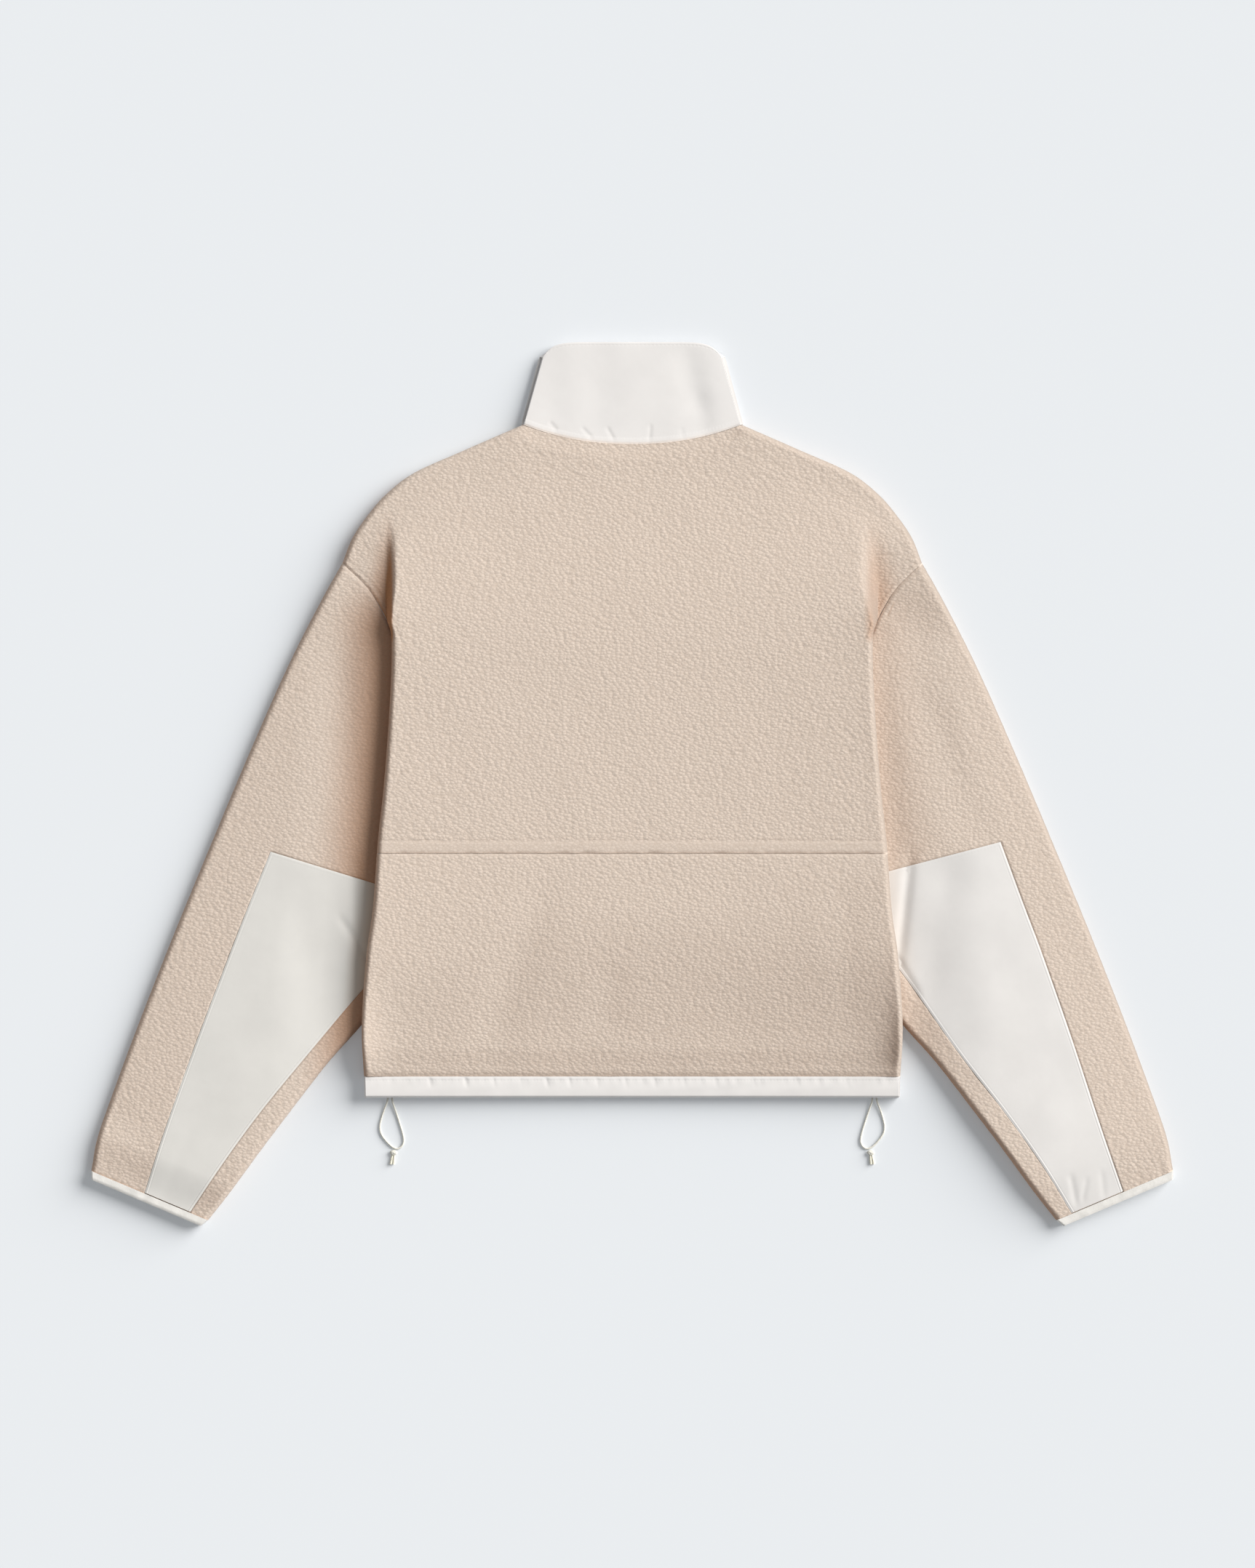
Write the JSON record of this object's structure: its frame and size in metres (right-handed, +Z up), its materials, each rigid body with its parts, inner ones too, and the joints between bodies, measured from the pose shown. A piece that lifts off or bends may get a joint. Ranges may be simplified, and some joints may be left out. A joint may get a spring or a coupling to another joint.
{
  "type": "fleece jacket",
  "caption": "Cropped pile-fleece jacket laid flat with its back up: dropped sleeves with woven elbow panels, woven stand collar, bound cuffs, hem casing with elastic cord loops",
  "frame": {"origin": "middle of the laid jacket's bounding box, on the surface that it lies on", "axes": "+X across the shoulders towards the jacket's right sleeve, +Y from hem to collar, +Z up from the surface, out of the jacket's back"},
  "size_m": [0.9228, 0.754, 0.0258],
  "materials": {
    "fleece": "nubby oatmeal pile, matt",
    "woven": "off-white fine plain weave, slight sheen",
    "binding": "cream elastic binding",
    "cord": "cream braided elastic cord",
    "stud": "matt off-white press stud"
  },
  "bodies": {
    "root": {"back_upper": "fleece", "back_lower": "fleece", "front_left": "fleece", "front_right": "fleece", "sleeve_left": "fleece", "sleeve_right": "fleece", "elbow_panel_left": "woven", "elbow_panel_right": "woven", "cuff_left": "binding", "cuff_right": "binding", "hem_casing": "woven", "collar": "woven", "placket_outer": "woven", "placket_inner": "woven", "cord_left": "cord", "cord_right": "cord", "cord_end_left": "cord", "cord_end_right": "cord", "stud_1": "stud", "stud_2": "stud", "stud_3": "stud", "stud_4": "stud", "stud_5": "stud", "stud_6": "stud"}
  },
  "joints": []
}
